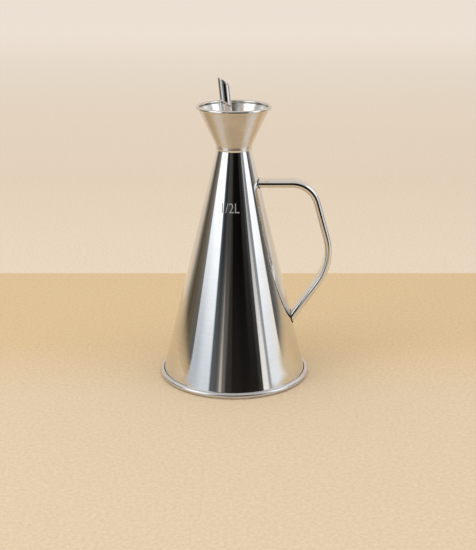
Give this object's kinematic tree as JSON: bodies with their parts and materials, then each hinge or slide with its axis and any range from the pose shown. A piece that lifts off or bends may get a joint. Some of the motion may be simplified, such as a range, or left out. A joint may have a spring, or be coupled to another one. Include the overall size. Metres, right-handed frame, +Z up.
{
  "type": "oil pourer",
  "caption": "Conical steel oil can with a rolled foot, a drip funnel round a slanted pouring spout, a pull-out spout plug and a flat-oval side handle.",
  "frame": {"origin": "on the table, under the middle of the base", "axes": "+Z up along the body's axis, +X towards the handle, -X towards the mouth of the spout"},
  "size_m": [0.1197, 0.105, 0.208],
  "materials": {
    "polished_steel": "mirror polished, with fine lines round the body",
    "satin_steel": "satin",
    "weld_steel": "ground and polished bead",
    "pressed_steel": "bright as pressed",
    "seal_silicone": "matt translucent silicone"
  },
  "bodies": {
    "can": {"body_cone": "polished_steel", "base_plate": "satin_steel", "neck_ring": "weld_steel", "funnel": "polished_steel", "handle": "polished_steel", "upper_handle_weld": "weld_steel", "lower_handle_weld": "weld_steel"},
    "seal": {"plug_seal": "seal_silicone"},
    "spout": {"spout_plug": "pressed_steel", "spout_tube": "polished_steel", "spout_weld": "weld_steel"}
  },
  "joints": [
    {"name": "spout_lift", "type": "slide", "parent": "can", "child": "seal", "axis": [0, 0, 1], "range_m": [0, 0.045]},
    {"name": "spout_turn", "type": "hinge", "parent": "seal", "child": "spout", "pos_m": [0, 0, 0.1617], "axis": [0, 0, 1], "continuous": true}
  ]
}
